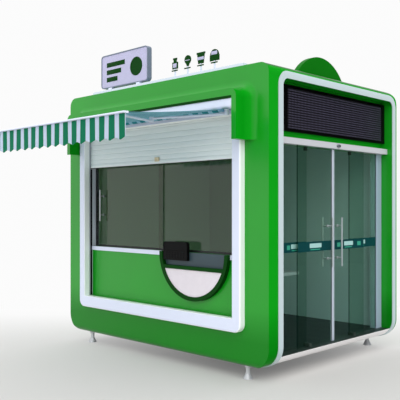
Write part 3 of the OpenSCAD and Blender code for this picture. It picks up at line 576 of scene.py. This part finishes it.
# lock on the bottom bar
lock = {"x": 0.024, "half": 0.034, "proud": 0.008, "sink": 0.004, "low": 0.030, "high": 0.074, "ease": 0.003,
        "face": 0.001, "rim": (0.006, 0.0), "well": (0.002, -0.002)}
lockBase = boxPiece("shutter_lock",
                    (lock["x"] - lock["half"], curtainLow.y - lock["proud"], curtainLow.z + lock["low"]),
                    (lock["x"] + lock["half"], curtainLow.y + lock["sink"], curtainLow.z + lock["high"]), lock["ease"])
setIn(lockBase, lambda face: face.normal.y < -flush and face.area > lock["face"], lock["rim"], lock["well"])
# thin brass plating, worn pale
brassPlate = finish("brass plated lock", "#D9C9A6", 0.4, metallic=0.2, grain=10, bump=0.02)
dress(lockBase, "aluminium", brassPlate)
print("shutter of", rows, "slats")

# white front frame with soft edges: a plane cut into rails and stiles, then drawn back
frontFrame = {"stile": 0.102, "corner": 0.080, "cornerSteps": 10, "ease": 0.016, "innerEase": 0.008, "easeSteps": 6}
railLow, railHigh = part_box("frame_rails")
stileLow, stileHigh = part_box("frame_stiles")
deselect()
bpy.ops.mesh.primitive_plane_add(size=1, rotation=alongY,
                                 location=((railLow.x + railHigh.x) / 2, railLow.y, (railLow.z + railHigh.z) / 2))
surround = bpy.context.object
surround.scale = (railHigh.x - railLow.x, railHigh.z - railLow.z, 1)
settle(surround)
mode("EDIT")
innerX = stileHigh.x - frontFrame["stile"]
cuts = [((x, 0, 0), (1, 0, 0)) for x in (innerX, -innerX)] + [((0, 0, z), (0, 0, 1)) for z in (stileLow.z, stileHigh.z)]
for place, normal in cuts:
    bpy.ops.mesh.select_all(action="SELECT")
    bpy.ops.mesh.bisect(plane_co=place, plane_no=normal)
pick(surround, "FACE", lambda face: abs(face.center.x) < innerX and stileLow.z < face.center.z < stileHigh.z)
bpy.ops.mesh.delete(type="FACE")
bpy.ops.mesh.select_all(action="SELECT")
bpy.ops.mesh.extrude_region_move(TRANSFORM_OT_translate={"value": (0, railHigh.y - railLow.y, 0)})
mode("OBJECT")


def alongDepth(a, b, tolerance):
    # an edge that runs straight back
    return abs(a.x - b.x) < tolerance and abs(a.z - b.z) < tolerance


def lowerCorner(a, b):
    return alongDepth(a, b, tight) and abs(abs(a.x) - railHigh.x) < loose and abs(a.z - railLow.z) < loose


easeEdges(surround, lowerCorner, frontFrame["corner"], frontFrame["cornerSteps"])
closeUp(surround)


def frameEdge(inside):
    # front outline, outer or inner, but not the flat joints between rails and stiles
    def test(a, b):
        if max(a.y, b.y) > railLow.y + tight:
            return False
        middle = (a + b) / 2
        across, height = abs(middle.x), middle.z
        inner = across < innerX + tight and stileLow.z - tight < height < stileHigh.z + tight
        if inside:
            return inner
        upright = abs(across - innerX) < tight and not inner
        reach = frontFrame["corner"] + loose
        rounded = across > railHigh.x - reach and height < railLow.z + reach
        outer = across > railHigh.x - loose or rounded
        flat = abs(height - railLow.z) < tight or abs(height - railHigh.z) < tight
        level = abs(height - stileLow.z) < tight or abs(height - stileHigh.z) < tight
        joint = innerX + tight < across < railHigh.x - loose and level
        return (outer or flat) and not inner and not joint and not upright
    return test


for inside, ease in ((False, frontFrame["ease"]), (True, frontFrame["innerEase"])):
    easeEdges(surround, frameEdge(inside), ease, frontFrame["easeSteps"])
closeUp(surround)
surround.name = "front_frame"
dress(surround, "white_trim", whitePowder, litSidePowder, instead=["frame_rails", "frame_stiles"])
# returns and edges take the brighter copy of the white, painted light
secondLook(surround, lambda face: face.normal.y > -flush)
print("front frame", len(surround.data.polygons), "faces")

# brush strips in the slots of the shutter guides, below the curtain, black so that they also stand for the shade in the
# slots: partly painted shade
brush = {"mouth": 1165, "floor": 1202, "front": 15.5, "back": 44.5, "low": 431, "high": 1922, "ease": 0.001}
# stiff black nylon, no sheen
bristle = finish("black nylon bristle", "#050607", 0.9, grain=2, bump=0.2, specular=0.05, stretch=(0.1, 1, 1))
strips = []
for start, end in ((brush["mouth"], brush["floor"]), (-brush["floor"], -brush["mouth"])):
    strips.append(boxPiece("strip", at(start, brush["front"], brush["low"]), at(end, brush["back"], brush["high"]),
                           brush["ease"]))
dress(joined("guide_brushes", strips), "black_plastic", bristle)
print("guide brushes")

# roof sign: slate case, opal face set in, a plain figure of bars and a disc
roofSign = {"corner": 0.040, "cornerSteps": 8, "rim": 0.010, "step": 0.002, "deep": 0.006, "face": 0.1}
signLow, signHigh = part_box("roof_sign")
case = boxPiece("roof_sign_case", signLow, signHigh)
easeEdges(case, lambda a, b: alongDepth(a, b, hair), roofSign["corner"], roofSign["cornerSteps"])
setIn(case, lambda face: abs(face.normal.y) > flush, (roofSign["rim"], 0.0), (roofSign["step"], -roofSign["deep"]))
paint(case, slateLacquer, opalAcrylic)
secondLook(case, lambda face: abs(face.normal.y) > flush and face.area > roofSign["face"])
closeUp(case)
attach(case, "cabin")
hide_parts("roof_sign")

# the figure on the sign, front and back alike: places are shares of the sign
figure = {"bars": ((0.12, 0.52, 0.62, 0.76), (0.12, 0.44, 0.40, 0.54), (0.12, 0.36, 0.18, 0.32)), "half": 0.002,
          "ease": 0.0015, "disc": (0.76, 0.48), "radius": 0.105, "sides": 48, "ring": (0.020, 0.0),
          "groove": (0.001, -0.0015)}
signWide, signTall = signHigh.x - signLow.x, signHigh.z - signLow.z


def onSign(across, y, up):
    return signLow.x + across * signWide, y, signLow.z + up * signTall


raised = []
for y in (signLow.y + roofSign["deep"], signHigh.y - roofSign["deep"]):
    for left, right, low, high in figure["bars"]:
        raised.append(boxPiece("bar", onSign(left, y - figure["half"], low), onSign(right, y + figure["half"], high),
                               figure["ease"]))
    disc = barrel("disc", onSign(figure["disc"][0], y, figure["disc"][1]), figure["radius"], 2 * figure["half"],
                  alongY, figure["sides"])
    setIn(disc, lambda face: abs(face.normal.y) > flush, figure["ring"], figure["groove"])
    raised.append(closeUp(disc))
dress(joined("roof_sign_figure", raised), "dark_green", bottleGreen)
print("roof sign")

# pale inlays on the roof figures and a bar under each in place of its caption
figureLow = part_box("roof_pictograms")[0]
inlay = {"proud": 0.004, "sink": 0.001, "ease": 0.0015, "barHalf": 0.046, "barTall": 0.013, "drop": 0.012}
# middle, half width, bottom and top of each inlay
goods = {"loaf": (0.810, 0.040, 0.060, 0.094), "cup": (0.621, 0.045, 0.036, 0.066),
         "cone": (0.432, 0.034, 0.058, 0.066), "bottle": (0.243, 0.028, 0.012, 0.056)}


def plaque(name, x, half, bottom, top):
    # thin plate on the front of the figures
    return boxPiece(name, (x - half, figureLow.y - inlay["proud"], figureLow.z + bottom),
                    (x + half, figureLow.y + inlay["sink"], figureLow.z + top), inlay["ease"])


inlays = [plaque("inlay", *place) for place in goods.values()]
dress(joined("roof_figure_inlays", inlays), "sign_face", opalAcrylic)
captions = [plaque("bar", place[0], inlay["barHalf"], -inlay["drop"] - inlay["barTall"], -inlay["drop"])
            for place in goods.values()]
dress(joined("roof_caption_bars", captions), "dark_green", bottleGreen)
print("roof figures")

# message display: black case, set-in matrix and a shade rib over each row of dots
display = {"rim": 0.026, "near": 0.205, "far": 0.056, "deep": 0.010, "step": 0.002, "face": 0.3, "row": 0.024,
           "dot": 0.30, "dark": "#111116", "lens": "#57536A", "rib": 0.004, "ribIn": 0.003, "ribBack": 0.001,
           "ribFront": 0.002, "ribEase": 0.001}
screenLow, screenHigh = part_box("led_display")
# dark plastic with a dot of pale lens every row, drawn coarser than real so that it shows
matrix = finish("dot matrix modules", "#15151C", 0.5, grain=10)
tree = matrix.node_tree
firstDot = (0, -screenLow.y - display["near"], -screenLow.z - display["rim"])
shifted = addNode(tree, "ShaderNodeMapping", {"Location": firstDot}, {"Vector": ownPlace(tree)})
axes = split(tree, shifted.outputs[0])
halfRow = display["row"] / 2
apart = [combine(tree, "SUBTRACT", combine(tree, "PINGPONG", axes[i], halfRow), halfRow) for i in (1, 2)]
flat = addNode(tree, "ShaderNodeCombineXYZ", None, {0: apart[0], 1: apart[1]})
reach = addNode(tree, "ShaderNodeVectorMath", {"operation": "LENGTH"}, {0: flat.outputs[0]})
isDot = combine(tree, "LESS_THAN", reach.outputs["Value"], display["row"] * display["dot"])
lens = blend(tree, isDot, linear(display["dark"]), linear(display["lens"]))
tree.links.new(lens, tree.nodes["Principled BSDF"].inputs["Base Color"])
screen = boxPiece("message_display", screenLow, screenHigh)
pick(screen, "FACE", lambda face: face.normal.x > flush)
bpy.ops.mesh.inset(thickness=display["rim"])
screenWide = screenHigh.y - screenLow.y
matrixWide = screenWide - display["near"] - display["far"]
bpy.ops.transform.resize(value=(1, matrixWide / (screenWide - 2 * display["rim"]), 1))
bpy.ops.transform.translate(value=(0, (display["near"] - display["far"]) / 2, 0))
bpy.ops.mesh.inset(thickness=display["step"], depth=-display["deep"])
mode("OBJECT")
paint(screen, deepBlack, matrix)
secondLook(screen, lambda face: face.normal.x > flush and face.area > display["face"])
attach(screen, "cabin")
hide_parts("led_display")
ribLow = Vector((screenHigh.x - display["deep"] - display["ribBack"], screenLow.y + display["near"] + display["ribIn"],
                 screenLow.z + display["rim"] + display["row"] - display["rib"] / 2))
ribHigh = Vector((screenHigh.x - display["ribFront"], screenHigh.y - display["far"] - display["ribIn"],
                  ribLow.z + display["rib"]))
rib = boxPiece("rib", ribLow, ribHigh, display["ribEase"], segments=1)
ribCount = int((screenHigh.z - screenLow.z - 2 * display["rim"]) / display["row"]) - 1
ribs = joined("display_shades", copies(rib, [(0, 0, display["row"] * step) for step in range(1, ribCount)]))
dress(ribs, "black_plastic", blackMoulding)
print("display with", ribCount, "shades")

# levelling feet: spun bell, threaded stem and lock nut
feetLow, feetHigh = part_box("levelling_feet")
foot = {"plate": 0.048,
        "bell": [(0.046, 0.0), (0.048, 0.002), (0.048, 0.007), (0.046, 0.010), (0.041, 0.018), (0.034, 0.030),
                 (0.028, 0.044), (0.025, 0.052)],
        "stem": [(0.0215, 0.056), (0.0215, 0.112)],
        "nut": [(0.030, 0.1125), (0.033, 0.115), (0.033, 0.1275), (0.030, feetHigh.z)]}
footX, footY0, footY1 = feetHigh.x - foot["plate"], feetLow.y + foot["plate"], feetHigh.y - foot["plate"]
bell = turned("bell", (footX, footY0, 0), foot["bell"] + foot["stem"] + foot["nut"])
footSteps = [(-2 * footX, 0, 0), (0, footY1 - footY0, 0), (-2 * footX, footY1 - footY0, 0)]
dress(joined("levelling_bells", copies(bell, footSteps)), "steel", zincPlate, instead=["levelling_feet"])
print("levelling feet")

# safety band on the glass of the door end: plain teal film with pale blank fields
band = {"low": 1030, "high": 1130, "film": 0.0004, "sink": 0.0001, "ease": 0.0001, "in": 0.006, "light": 0.563}
# matt vinyl in three tints
tealFilm = finish("teal vinyl film", "#034042", 0.40, grain=40, bump=0.01, specular=0.15)
paleFilm = finish("pale vinyl film", "#9FC9C4", 0.40, grain=40, bump=0.01)
mintFilm = finish("mint vinyl film", "#2E9C80", 0.40, grain=40, bump=0.01)


def filmStrip(name, x, yLow, yHigh, body, fields):
    # film on the outer face, then fields over it as shares of the strip's length and height
    low, high = datumZ + band["low"] / 1000, datumZ + band["high"] / 1000
    yLow, yHigh = yLow + band["in"], yHigh - band["in"]
    spanY, spanZ = yHigh - yLow, high - low
    strip = boxPiece(name, (x - band["sink"], yLow, low), (x + band["film"], yHigh, high), band["ease"], segments=1)
    dress(strip, "door_glass", tealFilm, body=body)
    for number, (start, end, bottom, top, mat) in enumerate(fields):
        field = boxPiece(name + "_field" + str(number), (x, yLow + start * spanY, low + bottom * spanZ),
                         (x + 2 * band["film"], yLow + end * spanY, low + top * spanZ), band["ease"], segments=1)
        dress(field, "door_glass", mat, body=body)


blank = {"short": 0.15, "square": (0.28, 0.72), "pale": (0.36, 0.80), "line": (0.14, 0.24), "lineIn": (0.02, 0.04)}


def blankFields(*spans):
    # a pale field with a mint line under it for each span, or a mint square where the span is short
    fields = []
    for first, last in spans:
        if last - first < blank["short"]:
            fields.append((first, last, *blank["square"], mintFilm))
        else:
            fields.append((first, last, *blank["pale"], paleFilm))
            fields.append((first + blank["lineIn"][0], last - blank["lineIn"][1], *blank["line"], mintFilm))
    return fields


leafFields = {"near": blankFields((0.34, 0.69)), "far": blankFields((0.10, 0.21), (0.33, 0.63), (0.78, 0.90))}
for leaf, fields in leafFields.items():
    leafLow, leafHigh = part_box("door_leaf_" + leaf)
    filmStrip("band_" + leaf + "_leaf", leafHigh.x, leafLow.y, leafHigh.y, leaf + "_leaf", fields)
lightLow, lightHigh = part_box("side_lights")
filmStrip("band_near_light", lightHigh.x, lightLow.y, lightLow.y + band["light"], "cabin",
          blankFields((0.42, 0.51), (0.54, 0.84)))
filmStrip("band_far_light", lightHigh.x, lightHigh.y - band["light"], lightHigh.y, "cabin", blankFields((0.34, 0.58)))
print("door bands")

# dark track let into the top of the door sill, under the glass
track = {"thick": 0.002, "edge": 0.004, "in": 0.0535, "ease": 0.0015}
# dark anodising, streaked along the track
trackAnodised = finish("dark anodised track", "#22302B", 0.45, grain=8, stretch=(1, 0.1, 1))
sillLow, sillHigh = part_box("end_sills")
rail = boxPiece("threshold_track",
                (lightLow.x - track["in"], sillLow.y + track["edge"], sillHigh.z - track["thick"]),
                (sillHigh.x - track["edge"], sillHigh.y - track["edge"], sillHigh.z + track["thick"]), track["ease"])
dress(rail, "dark_frame", trackAnodised)
print("threshold track")

# sensor head on the door header: flat oval with two lenses
sensor = {"halfY": 0.030, "halfZ": 0.018, "sides": 40, "rim": 0.003, "dome": 0.002, "lens": 0.009, "apart": 0.013,
          "lensLong": 0.005, "lensOut": 0.002, "lensSides": 24, "ring": (0.002, 0.0), "bead": (0.002, 0.001)}
# pale moulded ABS
greyMoulding = finish("grey moulded plastic", "#7F858A", 0.4, grain=3, bump=0.02)
eyeLow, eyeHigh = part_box("door_sensor")
eye = (eyeLow + eyeHigh) / 2
head = barrel("sensor_head", eye, 1, eyeHigh.x - eyeLow.x, alongX, sensor["sides"],
              (sensor["halfZ"], sensor["halfY"], 1))
pick(head, "FACE", lambda face: face.normal.x > flush)
bpy.ops.mesh.inset(thickness=sensor["rim"])
bpy.ops.transform.translate(value=(sensor["dome"], 0, 0))
mode("OBJECT")
dress(closeUp(head), "black_plastic", greyMoulding, instead=["door_sensor"])
lensPiece = barrel("lens", (eyeHigh.x + sensor["lensOut"], eye.y - sensor["apart"], eye.z), sensor["lens"],
                   sensor["lensLong"], alongX, sensor["lensSides"])
setIn(lensPiece, lambda face: face.normal.x > flush, sensor["ring"], sensor["bead"])
closeUp(lensPiece)
lenses = joined("sensor_lenses", copies(lensPiece, [(0, 2 * sensor["apart"], 0)]))
dress(lenses, "black_plastic", blackMoulding)
print("door sensor")

# card terminal on the counter: moulded case, set-in screen and keys
terminal = {"ease": 0.026, "easeSteps": 5, "screen": 0.46, "rim": (0.010, 0.0), "well": (0.002, -0.003)}
boxLow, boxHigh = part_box("card_terminal")
screenZ = boxLow.z + (boxHigh.z - boxLow.z) * terminal["screen"]
body = boxPiece("card_terminal_case", boxLow, boxHigh)
easeEdges(body, lambda a, b: alongDepth(a, b, hair) and a.z > (boxLow.z + boxHigh.z) / 2,
          terminal["ease"], terminal["easeSteps"])
work(body)
mode("EDIT")
bpy.ops.mesh.select_all(action="SELECT")
bpy.ops.mesh.bisect(plane_co=(0, 0, screenZ), plane_no=(0, 0, 1))
setIn(body, lambda face: face.normal.y < -flush and face.center.z > screenZ, terminal["rim"], terminal["well"])
closeUp(body)
dress(body, "black_plastic", deepBlack, instead=["card_terminal"])
keypad = {"left": 0.030, "low": 0.018, "wide": 0.028, "tall": 0.016, "proud": 0.0015, "sink": 0.002, "ease": 0.001,
          "stepX": 0.042, "stepZ": 0.024, "rows": 3, "columns": 7}
keyLow = Vector((boxLow.x + keypad["left"], boxLow.y - keypad["proud"], boxLow.z + keypad["low"]))
key = boxPiece("key", keyLow, (keyLow.x + keypad["wide"], boxLow.y + keypad["sink"], keyLow.z + keypad["tall"]),
               keypad["ease"])
keySteps = [(keypad["stepX"] * column, 0, keypad["stepZ"] * row)
            for row in range(keypad["rows"]) for column in range(keypad["columns"]) if row or column]
dress(joined("card_terminal_keys", copies(key, keySteps)), "black_plastic", deepBlack)
print("card terminal")

# camera at the photo's view
view = {"place": (5.290, -5.175, 1.6255), "ahead": (0.7002, 0.7140), "sensor": 36, "focal": 662 / 400, "rise": 7 / 400}
deselect()
bpy.ops.object.camera_add(location=view["place"], rotation=(math.pi / 2, 0, math.atan2(*view["ahead"])))
camera = bpy.context.object
camera.data.lens = view["focal"] * view["sensor"]
camera.data.sensor_width = view["sensor"]
camera.data.shift_y = view["rise"]
bpy.context.scene.camera = camera

# studio: pale floor that runs out to white, soft sky, one broad lamp from the front
studio = {"size": 120, "near": "#CECCC7", "rough": 0.9, "specular": 0.1, "far": 0.97, "dim": 0.72,
          "fade": (6.4, 10.6), "fadeShare": (0.15, 1.0), "tone": (5.5, 10.0),
          "middle": (0, 0.7, 0), "rim": (6.0, 10.5), "rimTone": (5.0, 10.0),
          "sky": (0.985, 1.0, 1.04), "skyLevel": 1.22,
          "lamp": 1.0, "lampAt": (0, -6, 6), "lampTurn": (52, 0, 48), "lampSpread": 60}


def seenRays(tree):
    # 1 for what the camera sees, also by reflection or through glass
    path = addNode(tree, "ShaderNodeLightPath").outputs
    direct = combine(tree, "MAXIMUM", path["Is Camera Ray"], path["Is Glossy Ray"])
    return combine(tree, "MAXIMUM", direct, path["Is Transmission Ray"])


deselect()
bpy.ops.mesh.primitive_plane_add(size=studio["size"])
ground = bpy.context.object
ground.name = "studio_floor"
ground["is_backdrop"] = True
floorLook = bpy.data.materials.new("studio floor")
floorLook.use_nodes = True
tree = floorLook.node_tree
shader = tree.nodes["Principled BSDF"]
shader.inputs["Base Color"].default_value = linear(studio["near"])
shader.inputs["Roughness"].default_value = studio["rough"]
shader.inputs["Specular IOR Level"].default_value = studio["specular"]
place = ownPlace(tree)
# it turns white away from the camera, and all round the part for the other views
ahead = Vector((-view["ahead"][0], view["ahead"][1], 0))
start = ahead.dot(Vector(view["place"]))
dotted = addNode(tree, "ShaderNodeVectorMath", {"operation": "DOT_PRODUCT", 1: ahead}, {0: place})
measured = addNode(tree, "ShaderNodeVectorMath", {"operation": "DISTANCE", 1: studio["middle"]}, {0: place})
depth, away = dotted.outputs["Value"], measured.outputs["Value"]
paling = (studio["dim"], studio["far"])
fade = ranged(tree, depth, [start + span for span in studio["fade"]], studio["fadeShare"], "SMOOTHSTEP")
tone = ranged(tree, depth, [start + span for span in studio["tone"]], paling)
rim = ranged(tree, away, studio["rim"], kind="SMOOTHSTEP")
rimTone = ranged(tree, away, studio["rimTone"], paling)
fade, tone = combine(tree, "MAXIMUM", fade, rim), combine(tree, "MAXIMUM", tone, rimTone)
# the floor as the camera, reflections and glass see it is a painted glow, darker near the camera and white far off,
# that also lightens the part's shadow on it: painted light and painted shade
lit = addNode(tree, "ShaderNodeEmission", {"Strength": 1.0}, {"Color": tone})
amount = combine(tree, "MULTIPLY", seenRays(tree), fade)
mix = addNode(tree, "ShaderNodeMixShader", None, {0: amount, 1: shader.outputs[0], 2: lit.outputs[0]})
tree.links.new(mix.outputs[0], tree.nodes["Material Output"].inputs["Surface"])
paint(ground, floorLook)

world = bpy.data.worlds.new("studio")
bpy.context.scene.world = world
world.use_nodes = True
tree = world.node_tree
sky = tuple(c * studio["skyLevel"] for c in studio["sky"]) + (1,)
color = blend(tree, seenRays(tree), sky, (studio["far"],) * 3 + (1,))
tree.links.new(color, tree.nodes["Background"].inputs["Color"])

deselect()
bpy.ops.object.light_add(type="SUN", location=studio["lampAt"],
                         rotation=[math.radians(turn) for turn in studio["lampTurn"]])
lamp = bpy.context.object
lamp.data.energy = studio["lamp"]
lamp.data.angle = math.radians(studio["lampSpread"])

# dark cloth off to the right that only reflections see, so that the door end keeps its depth of colour
flag = {"place": (5.0, 4.0, 0.004), "size": (6.8, 15.0, 1), "pastX": 8, "pastY": 11, "tall": 14}
deselect()
bpy.ops.mesh.primitive_plane_add(size=1, location=flag["place"])
darkSheet = bpy.context.object
darkSheet.name = "studio_flag"
darkSheet.scale = flag["size"]
settle(darkSheet)
pick(darkSheet, "EDGE", lambda a, b: min(a.x, b.x) > flag["pastX"] or min(a.y, b.y) > flag["pastY"])
bpy.ops.mesh.extrude_region_move(TRANSFORM_OT_translate={"value": (0, 0, flag["tall"])})
mode("OBJECT")
darkSheet.visible_camera = False
darkSheet.visible_diffuse = False
darkSheet.visible_shadow = False
darkSheet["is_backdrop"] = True
# black cloth without sheen
paint(darkSheet, finish("black cloth", "#0A0B0B", 0.9, grain=10, specular=0.0))
bpy.context.scene.view_settings.view_transform = "Standard"
print("camera and light set")

low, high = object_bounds()
